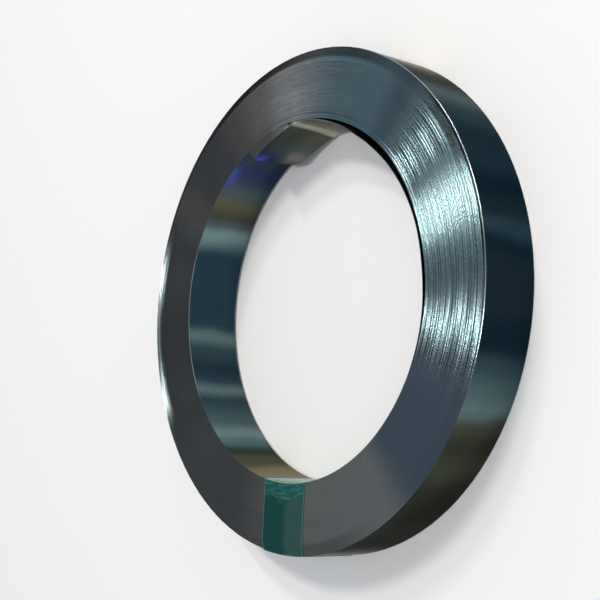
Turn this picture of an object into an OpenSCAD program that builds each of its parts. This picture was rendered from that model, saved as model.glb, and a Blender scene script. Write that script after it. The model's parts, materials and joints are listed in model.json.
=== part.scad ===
// Roll of narrow nickel-plated steel strip, wound on itself without a core and kept shut by
// one band of film tape. Millimetres, +Z up. The roll lies on its end: the origin is on the
// axis of the bore, in the plane that the roll lies on. The band of tape is at -Y.

/* [Strip] */
// Width of the strip
strip_w = 8; // [4:0.5:20]
// Thickness of the strip with its plating
strip_t = 0.15; // [0.1:0.01:0.3]
// Air left between one turn and the next
turn_air = 0.008; // [0.002:0.001:0.02]

/* [Roll] */
// Diameter of the bore
bore_d = 47; // [20:1:80]
// Depth of the winding, from the bore to the rim
build_up = 9; // [5:0.5:25]
// How far every second turn sits back from its neighbours
turn_step = 0.03; // [0.01:0.005:0.06]
// Number of outer turns that have slipped towards the underside
slipped_turns = 9; // [3:1:14]
// How far the outermost turn has slipped, the others sharing it out evenly
slip = 0.35; // [0.2:0.05:1]

/* [Tape] */
// Width of the film tape
tape_w = 8; // [4:0.5:15]
// Thickness of the film tape
tape_t = 0.06; // [0.04:0.01:0.15]

/* [Hidden] */
turns = round(build_up / (strip_t + turn_air));
turn_pitch = build_up / turns;
bore_r = bore_d / 2;
roll_r = bore_r + build_up;
// upper end of the turns that have not slipped
face_z = strip_w + slip;
// radii where the slipped turns begin, on the upper end and on the underside
shoulder_r = roll_r - slipped_turns * turn_pitch;
heel_r = shoulder_r - turn_pitch;
// height of the lowest of the turns that have not slipped
under_z = slip - turn_step;
round_fn = 180;

// how far turn k sits below the highest ones, with turn 0 outermost
function turn_drop(k) =
    k < slipped_turns ? slip * (1 - k / slipped_turns) : (k % 2) * turn_step;

// the two corners of turn k at height z, from the one radius to the other
function turn_land(z, r_from, r_to) = [[r_from, z], [r_to, z]];

function upper_lands() = [
    for (k = [0 : turns - 1])
        each turn_land(face_z - turn_drop(k), roll_r - k * turn_pitch, roll_r - (k + 1) * turn_pitch)
];

function lower_lands() = [
    for (k = [turns - 1 : -1 : 0])
        each turn_land(slip - turn_drop(k), roll_r - (k + 1) * turn_pitch, roll_r - k * turn_pitch)
];

// outline that lies snugly round the winding's section, grown outwards by g
function wrap_outline(g) = [
    [bore_r - g, under_z - g],
    [bore_r - g, face_z + g],
    [shoulder_r, face_z + g],
    [roll_r + g, strip_w + g],
    [roll_r + g, -g],
    [roll_r - turn_pitch, -g],
    [heel_r, under_z - g]
];

module turned(outline) {
    rotate_extrude($fn = round_fn) polygon(outline);
}

// The wound strip: every turn is a ring as wide as the strip, with a land at each end
module strip_coil() {
    color([0.33, 0.38, 0.42]) turned(concat(upper_lands(), lower_lands()));
}

// Slab that cuts the tape's width out of a turned wrap, on the -Y side only
module tape_slab() {
    reach = roll_r + 2 * tape_t;
    translate([-tape_w / 2, -reach, -2 * tape_t]) cube([tape_w, reach, face_z + 4 * tape_t]);
}

// Closed band of film round the section of the roll
module tape_band() {
    color([0.12, 0.42, 0.38]) intersection() {
        difference() {
            turned(wrap_outline(tape_t));
            turned(wrap_outline(0));
        }
        tape_slab();
    }
}

strip_coil();
tape_band();
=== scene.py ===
"""Looks of a roll of nickel-plated steel strip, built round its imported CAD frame.

Geometry Nodes wind the strip as one spiral. Its springy inner end and the band of film tape
are meshes of their own. Lengths are in metres, except where a comment says millimetres.
"""

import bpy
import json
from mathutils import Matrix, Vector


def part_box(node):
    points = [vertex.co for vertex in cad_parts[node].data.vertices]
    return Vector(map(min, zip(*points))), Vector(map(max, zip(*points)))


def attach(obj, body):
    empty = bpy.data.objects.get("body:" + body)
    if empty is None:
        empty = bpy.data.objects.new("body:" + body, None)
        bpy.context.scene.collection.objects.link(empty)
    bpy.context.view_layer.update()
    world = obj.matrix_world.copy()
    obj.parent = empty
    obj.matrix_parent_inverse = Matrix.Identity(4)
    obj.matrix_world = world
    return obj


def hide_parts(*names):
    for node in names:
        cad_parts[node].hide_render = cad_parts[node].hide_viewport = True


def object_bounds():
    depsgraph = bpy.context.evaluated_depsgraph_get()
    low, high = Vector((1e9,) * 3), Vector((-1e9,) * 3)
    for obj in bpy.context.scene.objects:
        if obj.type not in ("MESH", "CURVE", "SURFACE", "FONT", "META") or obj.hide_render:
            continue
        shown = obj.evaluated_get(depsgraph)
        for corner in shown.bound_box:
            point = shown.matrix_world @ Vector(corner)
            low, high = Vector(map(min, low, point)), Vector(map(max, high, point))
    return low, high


bl_info = {
    "name": "Strip Roll Looks",
    "version": (1, 0, 0),
    "blender": (4, 5, 0),
    "location": "View3D > Sidebar > Strip Roll",
    "description": "Winds the strip, springs its inner end, wraps the film tape and sets the stage",
    "category": "Object",
}

import json
import math

import bpy
import numpy as np
from bpy.props import FloatProperty, FloatVectorProperty, IntProperty, PointerProperty
from mathutils import Matrix, Vector

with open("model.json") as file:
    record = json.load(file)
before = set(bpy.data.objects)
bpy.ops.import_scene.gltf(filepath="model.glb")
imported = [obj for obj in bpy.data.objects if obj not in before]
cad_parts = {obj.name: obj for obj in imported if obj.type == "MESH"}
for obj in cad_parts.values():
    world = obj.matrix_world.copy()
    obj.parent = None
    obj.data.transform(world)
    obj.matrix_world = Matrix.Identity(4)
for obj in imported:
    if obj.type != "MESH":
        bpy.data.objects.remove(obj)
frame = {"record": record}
CAD_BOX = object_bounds()
COIL_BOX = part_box("strip_coil")
BORE = next(m for m in frame["record"]["mounts"] if m["name"] == "bore")

MM = 0.001
ROLL_RADIUS = COIL_BOX[1].x
FACE_HEIGHT = COIL_BOX[1].z
BORE_RADIUS = BORE["dims"]["r_mm"] * MM
STRIP_WIDTH = BORE["dims"]["length_mm"] * MM
FLOOR_HEIGHT = CAD_BOX[0].z
MIDDLE_RADIUS = (ROLL_RADIUS + BORE_RADIUS) / 2

# The frame counts the turns as this many closed rings
FRAME_RINGS = 57
# Edges bent further than this stay sharp, on the strip and on the film
SHARP_BEND = math.radians(32)
FILM_SHARP_BEND = math.radians(50)
# Faces whose normal stands up or down by more than this are slit edges
END_FACING = 0.5

# The inner end of the strip: azimuth in degrees, then in millimetres how far the strip stands into
# the bore at its upper and at its lower edge, and how much of its upper edge is rolled over
# outwards. The strip is bent sharply between the two runs.
SPRUNG_RUN = (
    (-24, 0.0, 0.0, 0.0),
    (-9, 0.12, 0.12, 0.0),
    (6, 0.50, 0.50, 0.0),
    (20, 0.67, 0.67, 0.0),
    (39, 1.05, 1.05, 0.0),
    (54, 1.28, 1.28, 0.0),
    (66, 1.17, 1.17, 0.0),
    (79, 0.72, 0.72, 0.0),
    (88, 0.38, 0.38, 0.0),
    (95, 0.30, 0.30, 0.05),
)
BENT_RUN = (
    (95, 0.30, 0.30, 0.05),
    (100, 0.85, 0.95, 0.75),
    (106, 1.20, 1.60, 1.35),
    (112, 1.50, 2.15, 1.8),
    (116, 1.60, 1.65, 2.0),
    (118, 1.63, 1.10, 2.1),
)

# Tones of the polished and of the slit metal, and of the reflections painted on them, as screen colours
TONES = {
    "black": (16, 33, 44), "ink": (24, 38, 46), "deep": (30, 48, 58), "sea": (36, 57, 70),
    "slate": (44, 64, 72), "steel": (66, 88, 92), "silver": (84, 106, 108), "frost": (104, 128, 130),
    "moss": (50, 54, 45), "umber": (62, 66, 56), "khaki": (84, 84, 68), "honey": (140, 132, 96),
    "cream": (165, 165, 150), "pearl": (205, 204, 188), "pine": (50, 62, 58), "indigo": (44, 54, 82),
    "violet": (64, 74, 142), "dusk": (55, 62, 66), "cove": (52, 64, 67), "mist": (58, 71, 74),
    "cinder": (47, 48, 48), "soot": (50, 51, 51), "ash": (57, 57, 56), "stone": (68, 66, 63),
    "lead": (84, 82, 76), "pewter": (110, 108, 103), "rain": (60, 70, 74), "haze": (68, 82, 84),
}

# Painted highlight of a bright corner, as linear light
CORNER_HIGHLIGHT = (0.7, 0.82, 0.84, 1.0)

# Painted reflections of the room on the rim, in soft bands round the roll: azimuth in degrees and the tone
# there
RIM_REFLECTION_BANDS = (
    (-180, "deep"), (-150, "slate"), (-120, "ink"), (-90, "moss"), (-45, "moss"), (-39, "umber"),
    (-32, "moss"), (-28, "umber"), (-24, "silver"), (-20, "steel"), (-16, "slate"), (-12, "black"),
    (-8, "black"), (-4, "ink"), (4, "ink"), (8, "black"), (12, "sea"), (16, "ink"), (21, "black"),
    (28, "deep"), (34, "deep"), (40, "slate"), (46, "silver"), (52, "pine"), (56, "moss"), (59, "khaki"),
    (62, "honey"), (68, "honey"), (80, "umber"), (110, "ink"), (140, "slate"), (180, "deep"),
)
# Painted reflections in the bore, in the same way
BORE_REFLECTION_BANDS = (
    (-174, "sea"), (-170, "silver"), (-165, "slate"), (-158, "deep"), (-154, "sea"), (-150, "silver"),
    (-146, "slate"), (-137, "steel"), (-131, "frost"), (-127, "silver"), (-122, "pine"), (-117, "khaki"),
    (-114, "khaki"), (-108, "honey"), (-101, "cream"), (-96, "honey"), (0, "ink"), (60, "umber"),
    (72, "cream"), (91, "cream"), (94.5, "pearl"), (97, "umber"), (112, "dusk"), (118, "slate"),
    (130, "indigo"), (138, "haze"), (142, "khaki"), (147, "umber"), (150, "haze"), (154, "frost"),
    (162, "sea"),
)
# Tones of the slit edges round the roll: partly the metal's own tone, partly painted reflection
EDGE_TONE_AND_REFLECTION_BANDS = (
    (-180, "soot"), (-160, "cinder"), (-150, "cinder"), (-125, "ash"), (-112, "ash"), (-98, "stone"),
    (-80, "lead"), (-54, "lead"), (-43, "dusk"), (-18, "dusk"), (-9, "haze"), (1, "rain"), (11, "haze"),
    (22, "haze"), (29, "cove"), (36, "mist"), (41, "mist"), (46, "cove"), (51, "cove"), (61, "haze"),
    (75, "haze"), (98, "pewter"), (110, "lead"), (122, "stone"), (130, "ash"), (140, "ash"),
    (150, "stone"), (165, "soot"), (180, "soot"),
)


def linear(screen_colour):
    """A screen colour of 0 to 255 as linear light, with full alpha."""
    shares = [c / 255 for c in screen_colour]
    light = [s / 12.92 if s < 0.04045 else ((s + 0.055) / 1.055) ** 2.4 for s in shares]
    return (*light, 1.0)


class TreeMaker:
    """Adds nodes to one node tree, joined as they are added and laid out in columns."""

    def __init__(self, tree):
        self.tree = tree
        self.placed = 0

    def add(self, kind, inputs=(), **settings):
        """Adds a node with its settings, and feeds its inputs by name or number."""
        node = self.tree.nodes.new(kind)
        node.location = (220 * (self.placed // 5), -190 * (self.placed % 5))
        self.placed += 1
        for name, value in settings.items():
            setattr(node, name, value)
        self.feed(node, inputs)
        return node

    def feed(self, node, inputs):
        """Links sockets to a node's inputs, by name or number, or sets plain values on them."""
        for key, value in dict(inputs).items():
            if isinstance(value, bpy.types.NodeSocket):
                self.tree.links.new(value, node.inputs[key])
            else:
                node.inputs[key].default_value = value

    def then(self, shape, kind, inputs=(), **settings):
        """Passes a shape through a node, and returns what comes out."""
        return self.add(kind, {0: shape, **dict(inputs)}, **settings).outputs[0]

    def math(self, operation, *values, clamp=False):
        node = self.add("ShaderNodeMath", enumerate(values), operation=operation, use_clamp=clamp)
        return node.outputs[0]

    def times(self, product, *factors):
        """The product of two or more values."""
        for factor in factors:
            product = self.math("MULTIPLY", product, factor)
        return product

    def one_and(self, value, share):
        """1 and a share of a value."""
        return self.math("MULTIPLY_ADD", value, share, 1.0)

    def vector(self, operation, *values):
        node = self.add("ShaderNodeVectorMath", enumerate(values), operation=operation)
        return node.outputs["Value" if operation == "LENGTH" else "Vector"]

    def scaled(self, vector, factor):
        node = self.add("ShaderNodeVectorMath", {"Vector": vector, "Scale": factor}, operation="SCALE")
        return node.outputs["Vector"]

    def changed(self, colour, where, share):
        """A colour that is brighter by a share where the value is 1, or darker by a negative one."""
        return self.scaled(colour, self.one_and(where, share))

    def split(self, vector):
        """The three parts of a vector."""
        return self.add("ShaderNodeSeparateXYZ", {0: vector}).outputs

    def attribute(self, name):
        """A number stored on the mesh's points."""
        return self.add("ShaderNodeAttribute", attribute_name=name).outputs["Fac"]

    def combine(self, x=0.0, y=0.0, z=0.0):
        return self.add("ShaderNodeCombineXYZ", {0: x, 1: y, 2: z}).outputs[0]

    def ease(self, value, low, high, to_low=0.0, to_high=1.0):
        """Runs smoothly from to_low to to_high as value goes from low to high."""
        inputs = {"Value": value, "From Min": low, "From Max": high, "To Min": to_low, "To Max": to_high}
        node = self.add("ShaderNodeMapRange", inputs, interpolation_type="SMOOTHSTEP")
        return node.outputs[0]

    def noise(self, dimensions, scale, detail=2.0, **inputs):
        """The value of a Noise Texture, 0 to 1 with most of it near a half."""
        feeds = {"Scale": scale, "Detail": detail, **inputs}
        return self.add("ShaderNodeTexNoise", feeds, noise_dimensions=dimensions).outputs[0]

    def mix(self, factor, first, second):
        node = self.add("ShaderNodeMix", {0: factor, 6: first, 7: second}, data_type="RGBA")
        return node.outputs[2]

    def ramp(self, factor, stops, interpolation="EASE"):
        """A Color Ramp with stops of (place from 0 to 1, linear colour)."""
        node = self.add("ShaderNodeValToRGB", {"Fac": factor})
        ramp = node.color_ramp
        ramp.interpolation = interpolation
        ramp.elements.remove(ramp.elements[1])
        ramp.elements[0].position, ramp.elements[0].color = stops[0]
        for place, colour in stops[1:]:
            ramp.elements.new(place).color = colour
        return node.outputs["Color"]


def spread(count):
    """Numbers from 0 to 1, both included."""
    return [i / (count - 1) for i in range(count)]


def around(radius, angle, height):
    """The point at a radius, an angle and a height round the roll's axis."""
    return radius * math.cos(angle), radius * math.sin(angle), height


def strip_section(width, thickness):
    """Outline of the strip's section. x runs from its inner face to its outer one, y across its width.
    The slit edges are flat at the inner face and roll over towards the outer one."""
    flat = thickness * 0.35
    tilt = math.radians(38)
    radius = (thickness - flat) / math.sin(tilt)
    start = flat - thickness / 2
    bends = [tilt * s for s in spread(4)]
    arc = [(start + radius * math.sin(a), width - radius * (1 - math.cos(a))) for a in bends]
    upper = [(-thickness / 2, width), *arc]
    lower = [(x, width - y) for x, y in reversed(upper)]
    return upper + lower


def new_object(name, verts, edges=(), faces=()):
    """A mesh object made from its points, in the scene."""
    mesh = bpy.data.meshes.new(name)
    mesh.from_pydata(verts, edges, faces)
    obj = bpy.data.objects.new(name, mesh)
    bpy.context.scene.collection.objects.link(obj)
    return obj


def finished(obj, name):
    """Turns the evaluated object into a plain mesh object of that name, in its place."""
    depsgraph = bpy.context.evaluated_depsgraph_get()
    mesh = bpy.data.meshes.new_from_object(obj.evaluated_get(depsgraph), depsgraph=depsgraph)
    mesh.name = name
    source = obj.data
    bpy.data.objects.remove(obj)
    bpy.data.meshes.remove(source)
    made = bpy.data.objects.new(name, mesh)
    bpy.context.scene.collection.objects.link(made)
    return made


def grid_faces(rows, size):
    """Faces between rows of points, each row as long as size."""
    starts = [row * size + i for row in range(rows - 1) for i in range(size - 1)]
    return [(a, a + 1, a + 1 + size, a + size) for a in starts]


def thickened(obj, name, thickness, offset, even=False):
    """Gives a sheet its thickness, to both sides at offset 0 and outwards at 1, and finishes it.
    An even one stays as thick where it bends."""
    modifier = obj.modifiers.new("Thickness", "SOLIDIFY")
    modifier.thickness = thickness
    modifier.offset = offset
    modifier.use_even_offset = even
    return finished(obj, name)


def store(mesh, name, values):
    """Stores one number for each of the mesh's points."""
    mesh.attributes.new(name, "FLOAT", "POINT").data.foreach_set("value", values)


# ---- materials


def new_material(name):
    """An empty node material, its tree maker and the shader that ends it."""
    material = bpy.data.materials.new(name)
    material.use_nodes = True
    material.node_tree.nodes.clear()
    maker = TreeMaker(material.node_tree)
    shader = maker.add("ShaderNodeBsdfPrincipled")
    maker.add("ShaderNodeOutputMaterial", {"Surface": shader.outputs[0]})
    return material, maker, shader


def round_the_roll(maker):
    """Place seen from above, radius, azimuth as a turn from 0 to 1 with 0 at -X, and height."""
    place = maker.split(maker.add("ShaderNodeTexCoord").outputs["Object"])
    flat = maker.combine(place[0], place[1])
    radius = maker.vector("LENGTH", flat)
    angle = maker.math("ARCTAN2", place[1], place[0])
    turn = maker.math("MULTIPLY_ADD", angle, 1 / math.tau, 0.5)
    return flat, radius, turn, place[2]


def as_turn(azimuth):
    """An azimuth in degrees as a turn from 0 to 1 with 0 at -X."""
    return azimuth / 360 + 0.5


def between(maker, turn, starts, ends):
    """1 between two azimuths and 0 outside, easing over the degrees given for each."""
    low, high, last_high, last_low = (as_turn(azimuth) for azimuth in (*starts, *ends))
    return maker.times(maker.ease(turn, low, high), maker.ease(turn, last_low, last_high))


def bands(maker, turn, tones):
    """The tones of a table of bands, each at its azimuth."""
    stops = [(as_turn(azimuth), linear(TONES[tone])) for azimuth, tone in tones]
    return maker.ramp(turn, stops)


# Painted highlights, the brightest patches among the lined turns: azimuth in degrees, radius
# in millimetres, half length in degrees and half width in millimetres
PAINTED_GLINT_PATCHES = (
    (37.5, 25.0, 5.5, 1.2),
    (36.5, 28.4, 5.0, 0.8),
    (37.5, 30.3, 4.5, 0.25),
)

# Painted shade on stretches of the outer turns: azimuths that they ease in and out over, radii in
# millimetres that they deepen over, and the share of the light that is lost
PAINTED_SHADE_STRETCHES = (
    ((-175, -140), (-75, -55), (30.7, 31.3), 0.42),
    ((23, 34), (40, 49), (30.7, 31.2), 0.86),
    ((40, 75), (165, 172), (30.8, 31.4), 0.66),
    ((80, 100), (118, 135), (31.0, 31.5), 0.65),
)

# Stretches of the slit edges that differ, several in painted highlight or shade: azimuths that each one
# eases in over and out over
STRETCHES = {
    "glinting": ((-26, -14), (46, 56)),
    "calm": ((2, 10), (62, 75)),
    "close shade lines": ((27, 33), (41, 48)),
    "wide shade lines": ((-22, -15), (-6, 2)),
    "faint shade lines": ((-6, 2), (24, 32)),
    "beside the bend": ((55, 68), (108, 120)),
    "scuffed": ((60, 76), (108, 118)),
    "ledge": ((62, 72), (108, 120)),
    "shaded": ((2, 10), (42, 50)),
    "shining": ((-22, -12), (62, 75)),
    "brightest": ((42, 50), (62, 75)),
    "inner corner highlights": ((20, 27), (46, 56)),
}


class EndPlace:
    """Where a point lies on the winding's ends, and the unevenness that their finish follows."""

    def __init__(self, maker, turns):
        self.maker = maker
        self.flat, self.radius, self.turn, _ = round_the_roll(maker)
        self.on = {name: between(maker, self.turn, *azimuths) for name, azimuths in STRETCHES.items()}
        self.wound = maker.attribute("wound_turn")
        self.inner = maker.math("SUBTRACT", turns, self.wound)
        self.arc = maker.times(self.turn, math.tau * MIDDLE_RADIUS / MM)
        self.outward = maker.vector("NORMALIZE", self.flat)

        # turns differ in groups and from grain to grain, and deeper turns lie between the higher
        # ones, a few turns apart
        self.group = self.streaks(0.5, 0.03, 2.0)
        self.grain = self.streaks(1.4, 6.5, 1.0)
        jitter = self.streaks(0.4, 0.015, 1.0)
        self.beat = maker.math("SINE", maker.math("MULTIPLY_ADD", jitter, 2.2, maker.times(self.wound, 2.6)))

        # some of the slipped outer turns are rolled over inwards at the back
        slipped = maker.ease(self.radius, ROLL_RADIUS - 2.6 * MM, ROLL_RADIUS - 2.1 * MM)
        within_rim = maker.ease(self.radius, ROLL_RADIUS - 0.02 * MM, ROLL_RADIUS - 0.14 * MM)
        facing = maker.split(self.outward)
        self.at_back = maker.ease(maker.math("MULTIPLY_ADD", facing[1], 0.1, facing[0]), -0.86, -0.952)
        self.rolled = maker.times(slipped, within_rim, self.at_back, maker.ease(self.group, 0.34, 0.46),
                                  maker.ease(self.beat, -0.7, 0.1, 0.25, 1.0))

    def streaks(self, per_turn, per_mm, detail):
        """Noise drawn out along the turns, with its fineness across the turns and along them."""
        maker = self.maker
        place = maker.combine(maker.times(self.wound, per_turn), maker.times(self.arc, per_mm))
        return maker.noise("3D", 1.0, detail, Vector=place)


def leaned_normal(maker, at, look):
    """Groups of turns and single grains lean a little along the strip, and rolled turns inwards."""
    along = maker.vector("CROSS_PRODUCT", (0, 0, 1), at.outward)
    lean = maker.ease(at.group, 0.3, 0.7, -look.group_lean, look.group_lean)
    speck = maker.ease(at.grain, 0.25, 0.75, -look.grain_lean, look.grain_lean)
    leaning = maker.times(maker.math("ADD", lean, speck), maker.one_and(at.on["calm"], -0.6))
    normal = maker.add("ShaderNodeNewGeometry").outputs["Normal"]
    leaned = maker.vector("ADD", normal, maker.scaled(along, leaning))
    leaned = maker.vector("ADD", leaned, maker.scaled(at.outward, maker.times(at.rolled, -0.9)))
    return maker.vector("NORMALIZE", leaned)


def grained_tones(maker, at, look):
    """Tones of the ends, with a grain that is coarse where they glint and fine elsewhere, and painted
    highlights on the rolled-over turns.
    """
    tint = maker.scaled(bands(maker, at.turn, EDGE_TONE_AND_REFLECTION_BANDS), look.edge_gain)
    coarse = maker.ease(at.on["glinting"], 0.0, 1.0, 0.05, 0.24)
    tint = maker.changed(tint, maker.ease(at.grain, 0.3, 0.7, -1.0, 1.0), coarse)
    # painted highlight: the rolled-over turns take a light tone, stronger towards the rim
    rolled_glint_gain = maker.ease(at.radius, ROLL_RADIUS - 2.0 * MM, ROLL_RADIUS - 1.0 * MM, 0.45, 1.7)
    tint = maker.mix(at.rolled, tint, maker.scaled((0.28, 0.34, 0.33), rolled_glint_gain))
    scuffs = maker.ease(at.streaks(1.5, 0.2, 2.0), 0.3, 0.7, -0.07, 0.07)
    return maker.changed(tint, scuffs, at.on["scuffed"])


def with_painted_shade_lines(maker, at, tint):
    """Painted shade: dark lines where deeper turns lie between the bright ones, closest above the glints."""
    unslipped = maker.ease(at.radius, ROLL_RADIUS - 1.5 * MM, ROLL_RADIUS - 1.9 * MM)
    shade_lined = maker.times(at.on["close shade lines"], unslipped)
    deep_turn = maker.math("COMPARE", at.inner, 5.0, 0.45)
    bore_lines = maker.times(maker.ease(at.beat, -0.2, -0.8), maker.ease(at.inner, 14.0, 7.0))
    for lines, stretch, depth in (
        (maker.ease(at.beat, 0.3, -0.4), shade_lined, 0.9),
        (maker.ease(at.beat, -0.45, -0.9), at.on["wide shade lines"], 0.8),
        (maker.ease(at.beat, -0.3, -0.9), at.on["faint shade lines"], 0.42),
        (deep_turn, at.on["beside the bend"], 0.35),
        (bore_lines, at.on["beside the bend"], 0.15),
    ):
        tint = maker.changed(tint, maker.times(lines, stretch), -depth)

    # painted highlight: patches of the lined turns are brightened as if they faced the high lamp straight
    # on, and the rest is a little darkened
    ragged = maker.math("MULTIPLY_ADD", at.streaks(0.9, 0.1, 1.0), 3.0, -1.5)
    painted_glint = 0.0
    for azimuth, radius, half_length, half_width in PAINTED_GLINT_PATCHES:
        off_turn = maker.math("MULTIPLY_ADD", at.turn, 360 / half_length, -(azimuth + 180) / half_length)
        off_radius = maker.math("MULTIPLY_ADD", at.radius, 1 / (half_width * MM), -radius / half_width)
        away = maker.vector("LENGTH", maker.combine(maker.math("ADD", off_turn, ragged), off_radius))
        painted_glint = maker.math("ADD", maker.ease(away, 1.3, 0.2), painted_glint)
    return maker.changed(tint, maker.math("ADD", painted_glint, -0.12), shade_lined)


def with_outer_turns(maker, at, tint):
    """Painted shade on the outer turns in stretches, a painted highlight on the turn that stands as a ledge,
    and painted shade on the second.
    """
    for starts, ends, radii, loss in PAINTED_SHADE_STRETCHES:
        deepening = maker.ease(at.radius, *(radius * MM for radius in radii))
        tint = maker.changed(tint, maker.times(between(maker, at.turn, starts, ends), deepening), -loss)
    # painted highlight along the turn that stands as a ledge
    ledge = maker.times(maker.math("COMPARE", at.wound, 10.1, 0.4), at.on["ledge"])
    # painted shadow of the outermost turn on the second one
    shade = maker.times(maker.math("LESS_THAN", at.wound, 2.0), at.on["shaded"])
    return maker.changed(maker.changed(tint, ledge, 0.4), shade, -0.8)


def with_painted_corner_highlights(maker, at, tint):
    """Painted highlights on the corners of the outermost turn and of some of the innermost ones, with
    painted shade on the others between them.
    """
    shining = maker.times(maker.math("ADD", at.on["shining"], at.on["brightest"]), 0.5)
    tint = maker.mix(maker.times(maker.math("LESS_THAN", at.wound, 1.0), shining), tint, CORNER_HIGHLIGHT)
    near_bore = maker.times(maker.math("LESS_THAN", at.inner, 4.0), at.on["inner corner highlights"])
    every_other = maker.math("COSINE", maker.math("MULTIPLY_ADD", at.inner, math.pi, -1.8 * math.pi))
    bright = maker.math("GREATER_THAN", every_other, 0.0)
    corners = maker.mix(bright, maker.scaled(tint, 0.6), (0.46, 0.58, 0.6, 1.0))
    tint = maker.mix(near_bore, tint, corners)
    return maker.mix(maker.times(maker.math("LESS_THAN", at.inner, 1.0), at.at_back), tint, CORNER_HIGHLIGHT)


def with_inner_end(maker, at, tint, look):
    """The edge of the inner end takes the painted reflections of its face, darkened, and its rolled-over
    stretch gets smudges of painted highlight.
    """
    smudge_highlight = maker.ease(maker.noise("3D", 450.0, 1.0, Vector=at.flat), 0.55, 0.7, 0.7, 1.15)
    smudged_highlight = maker.vector("MULTIPLY", maker.scaled(tint, smudge_highlight), (1.0, 0.94, 0.86))
    darkened_reflection_edge = maker.scaled(bands(maker, at.turn, BORE_REFLECTION_BANDS), look.edge_gain * 0.25)
    bent = maker.ease(at.turn, as_turn(95), as_turn(98))
    past_winding = maker.math("LESS_THAN", at.inner, -0.5)
    return maker.mix(past_winding, tint, maker.mix(bent, darkened_reflection_edge, smudged_highlight))


def slit_edge_material(look, turns):
    """Slit edges of the turns, which make up both ends of the winding: fine grain along the turns, with
    painted reflections, highlights and shade.
    """
    material, maker, shader = new_material("slit_edge")
    at = EndPlace(maker, turns)
    tint = grained_tones(maker, at, look)
    tint = with_painted_shade_lines(maker, at, tint)
    tint = with_outer_turns(maker, at, tint)
    tint = with_painted_corner_highlights(maker, at, tint)
    maker.feed(shader, {
        "Base Color": with_inner_end(maker, at, tint, look),
        "Normal": leaned_normal(maker, at, look),
        "Tangent": at.outward,
        "Roughness": look.edge_roughness,
        "Anisotropic": look.edge_stretch,
        "Metallic": 1.0,
        "Specular Tint": (0.5, 0.5, 0.5, 1.0),
    })
    return material


# Corners with painted reflections in tones of their own, on the bore's edge and on the sprung inner
# end: azimuths that each one eases in over and out over, and heights in millimetres that it deepens over
REFLECTION_CORNERS = (
    ("bore", "violet", (125, 130), (133, 138), 6.0, 8.6),
    ("end", "indigo", (109, 114), (119, 121), 4.8, 6.4),
    ("end", "violet", (113, 117), (119, 121), 6.0, 7.2),
    ("end", "pewter", (107, 111), (119, 121), 5.0, 3.2),
)


def rolled_face_material(look):
    """Bright rolled faces of the strip, which show on the rim, in the bore and on the inner end, coloured
    with painted reflections.
    """
    material, maker, shader = new_material("rolled_face")
    _, radius, turn, height = round_the_roll(maker)
    sway = maker.noise("2D", 90.0, 1.0, Vector=maker.combine(maker.times(turn, 0.2), height))
    swayed = maker.math("MULTIPLY_ADD", maker.math("SUBTRACT", sway, 0.5), 0.012, turn)
    outside = maker.math("GREATER_THAN", radius, MIDDLE_RADIUS)
    # painted reflections in bands: the rim's outside, the bore's inside
    colour = maker.mix(outside, bands(maker, swayed, BORE_REFLECTION_BANDS), bands(maker, swayed, RIM_REFLECTION_BANDS))

    # the bent inner end is paler low down
    sprung = maker.math("LESS_THAN", radius, BORE_RADIUS - 0.3 * MM)
    past_bend = maker.times(sprung, between(maker, turn, (95, 98), (119, 121)))
    colour = maker.changed(colour, maker.times(past_bend, maker.ease(height, 6.5 * MM, 1.0 * MM)), 1.3)
    places = {"bore": maker.math("SUBTRACT", 1.0, outside), "end": sprung}
    # painted reflections on a few corners
    for place, tone, starts, ends, low, high in REFLECTION_CORNERS:
        corner = maker.times(places[place], between(maker, turn, starts, ends),
                             maker.ease(height, low * MM, high * MM))
        colour = maker.mix(corner, colour, linear(TONES[tone]))

    # fine lines that rolling has left along the strip
    place = maker.combine(maker.times(turn, 40.0), maker.math("DIVIDE", height, 0.12 * MM))
    rolled = maker.noise("3D", 1.0, 2.0, Vector=place)
    gain, roughness = look.face_gain, look.face_roughness
    colour = maker.scaled(colour, maker.ease(rolled, 0.25, 0.75, gain * 0.92, gain * 1.08))
    roughness = maker.ease(rolled, 0.25, 0.75, roughness * 0.8, roughness * 1.3)
    bump = maker.add("ShaderNodeBump", {"Height": rolled, "Strength": 0.15, "Distance": 0.002 * MM})

    # at a grazing look the rim mirrors less than the bore
    facing = maker.add("ShaderNodeLayerWeight", {"Blend": 0.5}).outputs["Facing"]
    at_grazing = maker.math("MULTIPLY_ADD", outside, -0.18, 0.3)
    glance = maker.ease(facing, 0.68, 0.93, 0.48, at_grazing)
    maker.feed(shader, {
        "Base Color": colour,
        "Normal": bump.outputs[0],
        "Roughness": maker.math("MULTIPLY_ADD", sprung, 0.18, roughness),
        "Metallic": 1.0,
        "Specular Tint": maker.combine(glance, glance, glance),
    })
    return material


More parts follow.
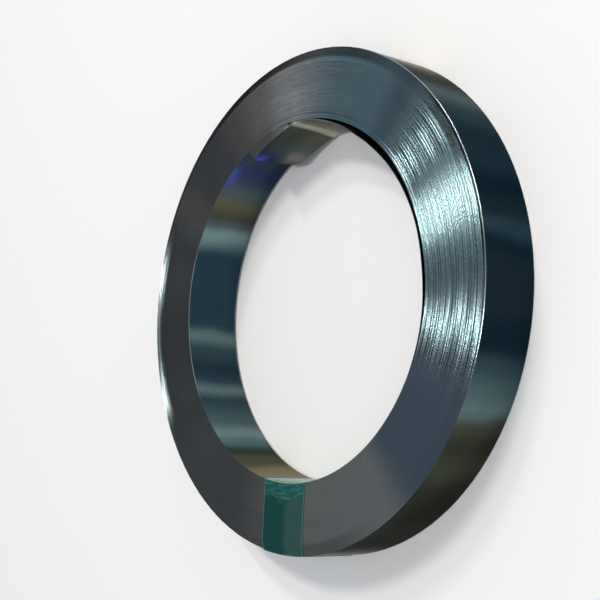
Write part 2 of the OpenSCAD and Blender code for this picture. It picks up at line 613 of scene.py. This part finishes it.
def film_material(look):
    """Thin green film: one half thinner, brighter near the bore, with painted highlights on its creases and
    sides, and painted light inside the bore.
    """
    material, maker, shader = new_material("green_film")
    flat, radius, _, _ = round_the_roll(maker)
    sideways = maker.split(flat)[0]
    thin = maker.ease(sideways, -0.5 * MM, 1.2 * MM)
    colour = maker.mix(thin, (*look.film_dark, 1.0), (*look.film_light, 1.0))

    # smeared down onto the turns near the bore, in fine wrinkles
    smear = maker.noise("3D", 1.0, 2.0, Vector=maker.vector("MULTIPLY", flat, (300.0, 600.0, 300.0)))
    edge_of_smear = maker.math("MULTIPLY_ADD", smear, 3.0 * MM, BORE_RADIUS + 0.2 * MM)
    pressed = maker.ease(maker.math("SUBTRACT", edge_of_smear, radius), -1.1 * MM, 0.9 * MM)
    colour = maker.mix(pressed, colour, (*look.film_smear, 1.0))
    wrinkle = maker.noise("3D", 1.0, 1.0, Vector=maker.vector("MULTIPLY", flat, (230.0, 1300.0, 0.0)))
    ridge = maker.ease(maker.math("ABSOLUTE", maker.math("SUBTRACT", wrinkle, 0.5)), 0.09, 0.0, 0.0, 0.17)

    # painted highlights along its creases, its sides and its wrinkles, and painted light inside the bore
    crease = maker.ease(maker.attribute("creased"), 0.05, 0.8, 0.0, 0.2)
    at_side = maker.ease(maker.math("ABSOLUTE", sideways), 3.78 * MM, 3.92 * MM, 0.0, 0.3)
    film_highlight = maker.math("MAXIMUM", maker.math("MAXIMUM", crease, at_side), maker.times(ridge, pressed))
    inside = maker.ease(radius, BORE_RADIUS + 0.12 * MM, BORE_RADIUS - 0.02 * MM)
    for share in (film_highlight, inside):
        colour = maker.mix(share, colour, (*look.film_lit_in_bore, 1.0))
    maker.feed(shader, {
        "Base Color": colour,
        "Roughness": maker.ease(smear, 0.3, 0.7, 0.12, 0.3),
        "Specular IOR Level": 0.12,
    })
    return material


class STRIPROLL_OT_finishes(bpy.types.Operator):
    """Mix the finishes of the nickel and of the film"""

    bl_idname = "striproll.finishes"
    bl_label = "Mix Finishes"

    def execute(self, context):
        look = context.scene.striproll_look
        slit_edge_material(look, turn_count(context.scene.striproll_strip))
        rolled_face_material(look)
        film_material(look)
        return {"FINISHED"}


# ---- sizes and colours


class STRIPROLL_PG_strip(bpy.types.PropertyGroup):
    """Sizes of the strip and of its winding."""

    width: FloatProperty(
        name="Strip Width", description="Width of the strip", default=STRIP_WIDTH, unit="LENGTH",
        precision=5)
    thickness: FloatProperty(
        name="Strip Thickness", description="Thickness of the strip with its plating", default=0.15 * MM,
        unit="LENGTH", precision=5)
    whole_turns: IntProperty(
        name="Whole Turns", description="Whole turns in the winding", default=56, min=1)
    points_per_turn: IntProperty(
        name="Points per Turn", description="Points along one turn", default=120, min=24, max=150)
    outer_end: FloatProperty(
        name="Outer End", description="Azimuth of the strip's outer end, under the tape",
        default=math.radians(-90), subtype="ANGLE")
    inner_end: FloatProperty(
        name="Inner End", description="Azimuth where the inner end springs off the bore",
        default=math.radians(SPRUNG_RUN[0][0]), subtype="ANGLE")
    slipped_turns: FloatProperty(
        name="Slipped Turns", description="Outer turns that have slipped down", default=9.0)
    scatter: FloatProperty(
        name="Turn Scatter", description="How unevenly the turns' edges lie", default=0.012 * MM,
        unit="LENGTH", precision=5)
    loose_gap: FloatProperty(
        name="Loose Gap", description="Gap inside the outermost turn at its loosest", default=0.1 * MM,
        unit="LENGTH", precision=5)
    loose_at: FloatProperty(
        name="Loose At", description="Azimuth where the outermost turn is loosest",
        default=math.radians(30), subtype="ANGLE")
    sag: FloatProperty(
        name="Sag", description="How far the innermost turn sags into the bore", default=0.5 * MM,
        unit="LENGTH", precision=5)
    sag_at: FloatProperty(
        name="Sag At", description="Azimuth where the turns sag most", default=math.radians(50),
        subtype="ANGLE")


class STRIPROLL_PG_film(bpy.types.PropertyGroup):
    """Sizes of the band of film tape."""

    width: FloatProperty(
        name="Tape Width", description="Width of the film tape", default=8 * MM, unit="LENGTH", precision=5)
    thickness: FloatProperty(
        name="Film Thickness", description="Thickness of one layer of film", default=0.028 * MM,
        unit="LENGTH", precision=6)
    crease: FloatProperty(
        name="Crease Height", description="Height of the creases in the film", default=0.025 * MM,
        unit="LENGTH", precision=6)


class STRIPROLL_PG_look(bpy.types.PropertyGroup):
    """Finish of the nickel and of the film."""

    edge_gain: FloatProperty(
        name="Edge Brightness", description="Brightness of the slit edges", default=4.6)
    edge_roughness: FloatProperty(
        name="Edge Roughness", description="Roughness of the slit edges", default=0.27, subtype="FACTOR")
    edge_stretch: FloatProperty(
        name="Edge Stretch", description="How far glints are drawn out across the turns", default=0.9,
        subtype="FACTOR")
    group_lean: FloatProperty(
        name="Group Lean", description="How far groups of turns lean along the strip", default=0.026)
    grain_lean: FloatProperty(
        name="Grain Lean", description="How far single grains lean along the strip", default=0.02)
    face_gain: FloatProperty(
        name="Face Brightness", description="Brightness of the rolled faces", default=1.12)
    face_roughness: FloatProperty(
        name="Face Roughness", description="Roughness of the rolled faces", default=0.14, subtype="FACTOR")
    film_dark: FloatVectorProperty(
        name="Film", description="Film over the winding", subtype="COLOR", default=linear((14, 62, 58))[:3])
    film_light: FloatVectorProperty(
        name="Film, Thin Half", description="Film where the metal shows through", subtype="COLOR",
        default=linear((44, 76, 73))[:3])
    film_smear: FloatVectorProperty(
        name="Film near the Bore", description="Film where it was pressed down", subtype="COLOR",
        default=linear((16, 80, 78))[:3])
    # painted light of the film where it lies in the bore
    film_lit_in_bore: FloatVectorProperty(
        name="Film in the Bore", description="Film seen against the bore", subtype="COLOR",
        default=linear((116, 156, 138))[:3])


class STRIPROLL_PG_stage(bpy.types.PropertyGroup):
    """Camera, floor and light."""

    camera_place: FloatVectorProperty(
        name="Camera", description="Place of the camera", subtype="XYZ",
        default=(0.12415, -0.01621, 0.10842))
    camera_aim: FloatVectorProperty(
        name="Aim", description="Point that the camera looks at", subtype="XYZ",
        default=(-0.00155, 0.0, 0.00607))
    camera_roll: FloatProperty(
        name="Roll", description="Turn of the camera about its line of sight", default=math.radians(-82.48),
        subtype="ANGLE")
    lens: FloatProperty(name="Lens", description="Focal length on a 36 mm sensor", default=75.16)
    floor_colour: FloatVectorProperty(
        name="Floor", description="Colour of the floor", subtype="COLOR", default=(0.98, 0.965, 0.945))
    floor_radius: FloatProperty(
        name="Floor Radius", description="Radius of the floor", default=2.0, unit="LENGTH")
    lamp_colour: FloatVectorProperty(
        name="Lamp Colour", description="Colour of the lamps", subtype="COLOR", default=(1.0, 0.965, 0.92))
    fill_share: FloatProperty(
        name="Fill", description="Share of the floor's light from behind the camera", default=0.1)
    lamp_distance: FloatProperty(
        name="Lamp Distance", description="Distance of the lamps", default=0.7, unit="LENGTH")


# ---- winding

# Degrees from its azimuth where the loose gap and the sag end, and where they are full, and the
# turns over which the gap is taken up again
LOOSE_REACH = (48, 12)
SAG_REACH = (55, 15)
LOOSE_TURNS = 16.0
# How often the unevenness changes in a turn, and its seed
SCATTER_PER_TURN = 3.1
SCATTER_SEED = 7.3

# What the winding's tree is given, by kind of socket
WINDING_INPUTS = {
    "NodeSocketInt": ("Points per Turn",),
    "NodeSocketFloat": ("Turns", "Outer Radius", "Turn Pitch", "Outer End", "Lift", "Slipped Turns",
                        "Turn Scatter", "Loose Gap", "Loose At", "Sag", "Sag At", "Seed"),
    "NodeSocketMaterial": ("Edge Material", "Face Material"),
}


def turn_count(strip):
    """Turns from the strip's outer end to where its inner end springs off."""
    return strip.whole_turns + ((strip.inner_end - strip.outer_end) / math.tau) % 1


def strip_place(maker, given, wound):
    """Where the strip lies, that many turns in from its outer end."""
    azimuth = maker.math("MULTIPLY_ADD", wound, math.tau, given["Outer End"])

    def near(centre, reach):
        """1 near an azimuth, easing to 0 further from it."""
        away = maker.math("COSINE", maker.math("SUBTRACT", azimuth, centre))
        return maker.ease(away, *(math.cos(math.radians(degrees)) for degrees in reach))

    def fading(turns):
        """1 at the outer end, falling to 0 that many turns in."""
        return maker.math("SUBTRACT", 1.0, maker.math("DIVIDE", wound, turns), clamp=True)

    # the turns inside the outermost one are drawn inwards where that one stands loose
    inner_turns = maker.math("GREATER_THAN", wound, 1.0)
    loose = maker.times(near(given["Loose At"], LOOSE_REACH), fading(LOOSE_TURNS), inner_turns)
    drawn = maker.times(loose, given["Loose Gap"])
    radius = maker.math("SUBTRACT", given["Outer Radius"], maker.times(wound, given["Turn Pitch"]))
    radius = maker.math("SUBTRACT", radius, drawn)

    # the turns sag into the bore, each a little more than the one outside it
    depth = maker.math("DIVIDE", wound, given["Turns"])
    sunk = maker.times(near(given["Sag At"], SAG_REACH), depth, given["Sag"])
    radius = maker.math("SUBTRACT", radius, sunk)

    # the outer turns have slipped down, and no turn lies quite even with the next
    slipped = fading(given["Slipped Turns"])
    height = maker.math("SUBTRACT", given["Lift"], maker.times(slipped, given["Lift"]))
    uneven = maker.noise("1D", SCATTER_PER_TURN, 1.0, W=maker.math("ADD", wound, given["Seed"]))
    uneven = maker.times(uneven, maker.math("SUBTRACT", 1.0, slipped), given["Turn Scatter"])
    height = maker.math("SUBTRACT", height, uneven)

    x = maker.times(radius, maker.math("COSINE", azimuth))
    y = maker.times(radius, maker.math("SINE", azimuth))
    return maker.combine(x, y, height)


def winding_tree():
    """Sweeps the strip's section along a spiral that runs inwards from the outer end."""
    tree = bpy.data.node_groups.new("Wound strip", "GeometryNodeTree")
    tree.interface.new_socket("Section", in_out="INPUT", socket_type="NodeSocketGeometry")
    for kind, names in WINDING_INPUTS.items():
        for name in names:
            tree.interface.new_socket(name, in_out="INPUT", socket_type=kind)
    tree.interface.new_socket("Winding", in_out="OUTPUT", socket_type="NodeSocketGeometry")
    maker = TreeMaker(tree)
    given = maker.add("NodeGroupInput").outputs

    steps = maker.times(given["Turns"], given["Points per Turn"])
    count = maker.math("ADD", maker.math("ROUND", steps), 1.0)
    line = maker.add("GeometryNodeCurvePrimitiveLine").outputs[0]
    shape = maker.then(line, "GeometryNodeResampleCurve", {"Count": count})
    index = maker.add("GeometryNodeInputIndex").outputs[0]
    wound = maker.math("DIVIDE", index, given["Points per Turn"])
    place = strip_place(maker, given, wound)
    shape = maker.then(shape, "GeometryNodeSetPosition", {"Position": place})
    shape = maker.then(shape, "GeometryNodeStoreNamedAttribute", {"Name": "wound_turn", "Value": wound},
                       data_type="FLOAT", domain="POINT")

    shape = maker.then(shape, "GeometryNodeSetCurveNormal", mode="Z_UP")
    section = maker.then(given["Section"], "GeometryNodeMeshToCurve")
    shape = maker.then(shape, "GeometryNodeCurveToMesh", {"Profile Curve": section, "Fill Caps": True})
    corner = maker.add("GeometryNodeInputMeshEdgeAngle").outputs["Unsigned Angle"]
    sharp = maker.math("GREATER_THAN", corner, SHARP_BEND)
    shape = maker.then(shape, "GeometryNodeSetShadeSmooth", {"Shade Smooth": True}, domain="FACE")
    shape = maker.then(shape, "GeometryNodeSetShadeSmooth", {"Selection": sharp, "Shade Smooth": False},
                       domain="EDGE")

    shape = maker.then(shape, "GeometryNodeRealizeInstances")
    facing = maker.split(maker.add("GeometryNodeInputNormal").outputs[0])
    on_end = maker.math("GREATER_THAN", maker.math("ABSOLUTE", facing[2]), END_FACING)
    for where, finish in ((True, "Face Material"), (on_end, "Edge Material")):
        shape = maker.then(shape, "GeometryNodeSetMaterial", {"Selection": where, "Material": given[finish]})
    maker.add("NodeGroupOutput", {0: shape})
    return tree


class STRIPROLL_OT_winding(bpy.types.Operator):
    """Wind the strip into its roll"""

    bl_idname = "striproll.winding"
    bl_label = "Wind Strip"

    def execute(self, context):
        strip = context.scene.striproll_strip
        outline = strip_section(strip.width, strip.thickness)
        ring = [(i, (i + 1) % len(outline)) for i in range(len(outline))]
        section = new_object("strip_section", [(x, -y, 0) for x, y in outline], edges=ring)

        turns = turn_count(strip)
        build_up = ROLL_RADIUS - BORE_RADIUS - strip.thickness
        values = {
            "Turns": turns,
            "Points per Turn": strip.points_per_turn,
            "Outer Radius": ROLL_RADIUS - strip.thickness / 2,
            "Turn Pitch": build_up / turns,
            "Outer End": strip.outer_end,
            "Lift": FACE_HEIGHT - strip.width,
            "Slipped Turns": strip.slipped_turns,
            "Turn Scatter": strip.scatter,
            "Loose Gap": strip.loose_gap,
            "Loose At": strip.loose_at,
            "Sag": strip.sag,
            "Sag At": strip.sag_at,
            "Seed": SCATTER_SEED,
            "Edge Material": bpy.data.materials["slit_edge"],
            "Face Material": bpy.data.materials["rolled_face"],
        }
        tree = winding_tree()
        modifier = section.modifiers.new("Wind", "NODES")
        modifier.node_group = tree
        for item in tree.interface.items_tree:
            if item.in_out == "INPUT" and item.name in values:
                modifier[item.identifier] = values[item.name]
        winding = finished(section, "strip_winding")
        if not winding.data.polygons:
            raise RuntimeError("the winding came out empty")
        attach(winding, "root")
        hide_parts("strip_coil")
        return {"FINISHED"}


# ---- inner end


def smooth_run(stations, step=2.0):
    """Stations along a Catmull-Rom curve through the given ones, about step degrees apart."""
    known = np.array(stations, float)
    padded = np.vstack([2 * known[0] - known[1], known, 2 * known[-1] - known[-2]])
    made = [known[0]]
    for i in range(len(known) - 1):
        before, start, end, after = padded[i:i + 4]
        parts = max(2, round((end[0] - start[0]) / step))
        for t in spread(parts + 1)[1:]:
            made.append(0.5 * (2 * start + (end - before) * t
                               + (2 * before - 5 * start + 4 * end - after) * t ** 2
                               + (3 * start - before - 3 * end + after) * t ** 3))
    return made


# The stretch that is rolled over: its least length, the length from which on it bends fully, that
# bend, the share of its length by which it stands above the roll, and its parts
LEAST_CURL = 0.15 * MM
FULL_CURL = 0.5 * MM
CURL_BEND = math.radians(88)
CURL_RISE = 0.05
CURL_PARTS = 6


def strip_across(width, upper_in, lower_in, curl):
    """Points across the strip at one station, as (stands in, height). Above the wall, the last
    stretch of length curl is rolled over outwards, back towards the winding."""
    stretch = max(curl, LEAST_CURL)
    fullest = CURL_BEND * min(1.0, curl / FULL_CURL)
    points = [(lower_in + (upper_in - lower_in) * s, (width - stretch) * s) for s in spread(5)]
    stands_in, height = points[-1]
    for i in range(CURL_PARTS):
        bend = fullest * min(1.0, 2 * (i + 1) / CURL_PARTS)
        stands_in -= math.sin(bend) * stretch / CURL_PARTS
        height += math.cos(bend) * stretch / CURL_PARTS
        points.append((stands_in, height))
    return points


class STRIPROLL_OT_inner_end(bpy.types.Operator):
    """Add the springy inner end of the strip, bent where it was gripped"""

    bl_idname = "striproll.inner_end"
    bl_label = "Spring Inner End"

    def execute(self, context):
        strip = context.scene.striproll_strip
        middle = BORE_RADIUS + strip.thickness / 2
        stations = smooth_run(SPRUNG_RUN) + smooth_run(BENT_RUN, 1.0)[1:]
        verts = []
        for azimuth, upper_in, lower_in, curl in stations:
            across = strip_across(strip.width, upper_in * MM, lower_in * MM, curl * MM)
            low = FACE_HEIGHT + CURL_RISE * curl * MM - across[-1][1]
            for stands_in, height in across:
                verts.append(around(middle - stands_in, math.radians(azimuth), low + height))
        faces = [(a, d, c, b) for a, b, c, d in grid_faces(len(stations), len(across))]
        end = new_object("strip_inner_end", verts, faces=faces)
        end.data.materials.append(bpy.data.materials["rolled_face"])
        end.data.materials.append(bpy.data.materials["slit_edge"])
        store(end.data, "wound_turn", [turn_count(strip) + 1.0] * len(verts))
        end = thickened(end, "strip_inner_end", strip.thickness, 0.0, even=True)
        shade_strip(end.data)
        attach(end, "root")
        return {"FINISHED"}


def shade_strip(mesh):
    """Smooth faces, sharp corners, and the slit-edge material on the faces that look up or down."""
    mesh.shade_smooth()
    mesh.set_sharp_from_angle(angle=SHARP_BEND)
    for polygon in mesh.polygons:
        polygon.material_index = 1 if abs(polygon.normal.z) > END_FACING else 0


# ---- film tape

# Heights on the rim between which the film's two ends lap, and its clearance from the metal
LAP_LOW, LAP_HIGH = 1.6 * MM, 6.4 * MM
CLEARANCE = 0.004 * MM


def film_route(film, strip):
    """The film's way round the winding's section, as (radius, height) of its sticky side.
    It starts and ends on the rim, where its ends lap."""
    shoulder = ROLL_RADIUS - (ROLL_RADIUS - BORE_RADIUS) * strip.slipped_turns / FRAME_RINGS
    slip = FACE_HEIGHT - strip.width
    out, inn = ROLL_RADIUS + CLEARANCE, BORE_RADIUS - CLEARANCE
    top, low = FACE_HEIGHT + CLEARANCE, slip - strip.scatter - CLEARANCE
    lapping = out + film.thickness
    return (
        (out, LAP_LOW), (out, strip.width + CLEARANCE), (shoulder, top), (inn, top), (inn, low),
        (shoulder, low), (out - strip.thickness, -CLEARANCE), (lapping, -CLEARANCE), (lapping, LAP_HIGH),
    )


def along_route(corners, step, rounding):
    """Points about a step apart along a route whose corners are rounded off."""
    corners = [Vector(c) for c in corners]
    points = [corners[0]]
    for before, corner, after in zip(corners, corners[1:], corners[2:]):
        back, ahead = (before - corner), (after - corner)
        reach = min(rounding, back.length / 3, ahead.length / 3)
        start = corner + back.normalized() * reach
        end = corner + ahead.normalized() * reach
        gap = start - points[-1]
        for t in spread(max(2, round(gap.length / step) + 1))[1:]:
            points.append(start - gap * (1 - t))
        for t in spread(5)[1:]:
            points.append(start.lerp(corner, t).lerp(corner.lerp(end, t), t))
    last = points[-1]
    gap = corners[-1] - last
    for t in spread(max(2, round(gap.length / step) + 1))[1:]:
        points.append(last + gap * t)
    return points


# Creases in the film: x and radius of one end and of the other, and their half width, in millimetres
CREASES = (
    ((-2.0, 24.95), (1.9, 24.7)),
    ((-3.0, 24.9), (-1.0, 25.5)),
    ((-1.2, 25.5), (1.7, 25.3)),
    ((1.2, 24.1), (3.6, 24.45)),
)
CREASE_HALF_WIDTH = 0.12


def crease_height(x, radius):
    """Share of the full crease height at a place on the film, in millimetres of x and radius."""
    height = 0.0
    place = Vector((x, radius))
    for start, end in CREASES:
        start = Vector(start)
        run = Vector(end) - start
        share = max(0.0, min(1.0, (place - start).dot(run) / run.length_squared))
        away = (place - (start + run * share)).length
        along = math.sin(math.pi * (0.1 + 0.8 * share))
        height += math.exp(-((away / CREASE_HALF_WIDTH) ** 2)) * along
    return min(height, 1.0)


class STRIPROLL_OT_film(bpy.types.Operator):
    """Wrap the band of film tape round the winding"""

    bl_idname = "striproll.film"
    bl_label = "Wrap Film Tape"

    def execute(self, context):
        film = context.scene.striproll_film
        strip = context.scene.striproll_strip
        route = along_route(film_route(film, strip), step=0.25 * MM, rounding=0.12 * MM)
        across = [(s - 0.5) * film.width for s in spread(33)]
        verts, creased = [], []
        for i, place in enumerate(route):
            ahead = route[min(i + 1, len(route) - 1)] - route[max(i - 1, 0)]
            outward = Vector((ahead.y, -ahead.x)).normalized()
            on_face = place.y > strip.width
            for x in across:
                raised = crease_height(x / MM, place.x / MM) if on_face else 0.0
                creased.append(raised)
                radius, height = place + outward * raised * film.crease
                verts.append((x, -math.sqrt(radius ** 2 - x ** 2), height))
        tape = new_object("film_tape", verts, faces=grid_faces(len(route), len(across)))
        tape.data.materials.append(bpy.data.materials["green_film"])
        store(tape.data, "creased", creased)
        tape = thickened(tape, "film_tape", film.thickness, 1.0)
        tape.data.shade_smooth()
        tape.data.set_sharp_from_angle(angle=FILM_SHARP_BEND)
        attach(tape, "root")
        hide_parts("tape_band")
        return {"FINISHED"}


# ---- stage

# Strip lights: name, azimuth on the end face where each one glints, half its angle across and along
# the turns in degrees, and its share of the floor's light
LAMPS = (
    ("main_lamp", 20, (8.0, 2.8), 0.27),
    ("low_lamp", -8.5, (8.0, 3.2), 0.2),
    ("high_lamp", 37, (6.0, 1.2), 0.13),
)
# Tilt of the turn edges that show them
LIT_TILT = math.radians(26)
# The fill light: half its angles in degrees, and how far above the camera it is aimed from
FILL_HALF_ANGLES = (20.0, 14.0)
FILL_LIFT = Vector((0, 0, 0.02))
# The room: its colours, and the sines of elevation where its walls end and its ceiling starts
WALL = (0.97, 0.97, 0.97, 1.0)
CEILING = (0.22, 0.26, 0.32, 1.0)
WALL_TOP, CEILING_EDGE = 0.2, 0.42


class STRIPROLL_OT_stage(bpy.types.Operator):
    """Set the floor, the light and the camera"""

    bl_idname = "striproll.stage"
    bl_label = "Set Stage"

    def execute(self, context):
        stage = context.scene.striproll_stage
        self.add_camera(context, stage)
        self.add_floor(stage)
        for lamp in LAMPS:
            self.add_strip_light(context, stage, *lamp)
        self.add_fill(context, stage)
        self.set_world(context)
        context.scene.view_settings.view_transform = "Standard"
        return {"FINISHED"}

    def add_camera(self, context, stage):
        camera = bpy.data.objects.new("camera", bpy.data.cameras.new("camera"))
        context.scene.collection.objects.link(camera)
        place, aim = Vector(stage.camera_place), Vector(stage.camera_aim)
        turn = (aim - place).to_track_quat("-Z", "Y").to_matrix().to_4x4()
        camera.matrix_world = Matrix.Translation(place) @ turn @ Matrix.Rotation(stage.camera_roll, 4, "Z")
        camera.data.lens = stage.lens
        camera.data.clip_start = 0.01
        context.scene.camera = camera

    def add_floor(self, stage):
        corners = [around(stage.floor_radius, math.tau * s, FLOOR_HEIGHT) for s in spread(65)[:-1]]
        floor = new_object("floor", corners, faces=[tuple(range(len(corners)))])
        material, maker, shader = new_material("pale_floor")
        colour = (*stage.floor_colour, 1.0)
        maker.feed(shader, {"Base Color": colour, "Roughness": 0.9, "Specular IOR Level": 0.1})
        floor.data.materials.append(material)

    def add_strip_light(self, context, stage, name, azimuth, half_angles, share):
        """Hangs a strip light where the tilted turn edges at that azimuth mirror it to the camera."""
        angle = math.radians(azimuth)
        place = Vector(around(MIDDLE_RADIUS, angle, FACE_HEIGHT))
        edge = Vector(around(math.sin(LIT_TILT), angle, math.cos(LIT_TILT)))
        to_camera = (Vector(stage.camera_place) - place).normalized()
        to_lamp = 2 * to_camera.dot(edge) * edge - to_camera
        across = (edge - to_lamp * edge.dot(to_lamp)).normalized()
        along = across.cross(-to_lamp)
        self.add_lamp(context, stage, name, place, (across, -along, to_lamp), half_angles, share)

    def add_fill(self, context, stage):
        """Hangs a broad soft light behind the camera."""
        to_lamp = (Vector(stage.camera_place) + FILL_LIFT).normalized()
        across = to_lamp.cross(Vector((0, 0, 1))).normalized()
        along = to_lamp.cross(across)
        self.add_lamp(context, stage, "fill_lamp", Vector(), (across, along, to_lamp), FILL_HALF_ANGLES,
                      stage.fill_share)

    def add_lamp(self, context, stage, name, place, axes, half_angles, share):
        """Adds a lamp at the lamp distance from a place, along the last of its three axes."""
        to_lamp = axes[2]
        light = bpy.data.lights.new(name, "AREA")
        light.shape = "ELLIPSE"
        light.size, light.size_y = (
            2 * stage.lamp_distance * math.tan(math.radians(angle)) for angle in half_angles)
        light.color = stage.lamp_colour
        light.energy = share * math.pi ** 2 * stage.lamp_distance ** 2 / to_lamp.z
        lamp = bpy.data.objects.new(name, light)
        context.scene.collection.objects.link(lamp)
        turn = Matrix(axes).transposed().to_4x4()
        lamp.matrix_world = Matrix.Translation(place + to_lamp * stage.lamp_distance) @ turn

    def set_world(self, context):
        """Pale walls under a darker, cooler ceiling."""
        world = bpy.data.worlds.new("studio")
        world.use_nodes = True
        world.node_tree.nodes.clear()
        maker = TreeMaker(world.node_tree)
        height = maker.split(maker.add("ShaderNodeTexCoord").outputs["Generated"])[2]
        stops = [(0.0, WALL), (WALL_TOP, WALL), (CEILING_EDGE, CEILING), (1.0, CEILING)]
        sky = maker.ramp(height, stops, "LINEAR")
        background = maker.add("ShaderNodeBackground", {"Color": sky, "Strength": 1.0})
        maker.add("ShaderNodeOutputWorld", {"Surface": background.outputs[0]})
        context.scene.world = world


# ---- panel and registration


class STRIPROLL_PT_panel(bpy.types.Panel):
    """Lists the steps that dress the roll"""

    bl_idname = "STRIPROLL_PT_panel"
    bl_label = "Strip Roll"
    bl_space_type = "VIEW_3D"
    bl_region_type = "UI"
    bl_category = "Strip Roll"

    def draw(self, context):
        for operator in OPERATORS:
            self.layout.operator(operator.bl_idname)
        for group in SETTINGS:
            box = self.layout.box()
            settings = getattr(context.scene, group)
            for name in settings.bl_rna.properties.keys():
                if name not in ("rna_type", "name"):
                    box.prop(settings, name)


SETTINGS = {
    "striproll_strip": STRIPROLL_PG_strip,
    "striproll_film": STRIPROLL_PG_film,
    "striproll_look": STRIPROLL_PG_look,
    "striproll_stage": STRIPROLL_PG_stage,
}


OPERATORS = (
    STRIPROLL_OT_finishes,
    STRIPROLL_OT_winding,
    STRIPROLL_OT_inner_end,
    STRIPROLL_OT_film,
    STRIPROLL_OT_stage,
)
CLASSES = (*SETTINGS.values(), *OPERATORS, STRIPROLL_PT_panel)


def register():
    for cls in CLASSES:
        bpy.utils.register_class(cls)
    for name, group in SETTINGS.items():
        setattr(bpy.types.Scene, name, PointerProperty(type=group))


def unregister():
    for name in SETTINGS:
        delattr(bpy.types.Scene, name)
    for cls in reversed(CLASSES):
        bpy.utils.unregister_class(cls)


def main():
    register()
    bpy.ops.striproll.finishes()
    bpy.ops.striproll.winding()
    bpy.ops.striproll.inner_end()
    bpy.ops.striproll.film()
    bpy.ops.striproll.stage()


if __name__ == "__main__":
    main()
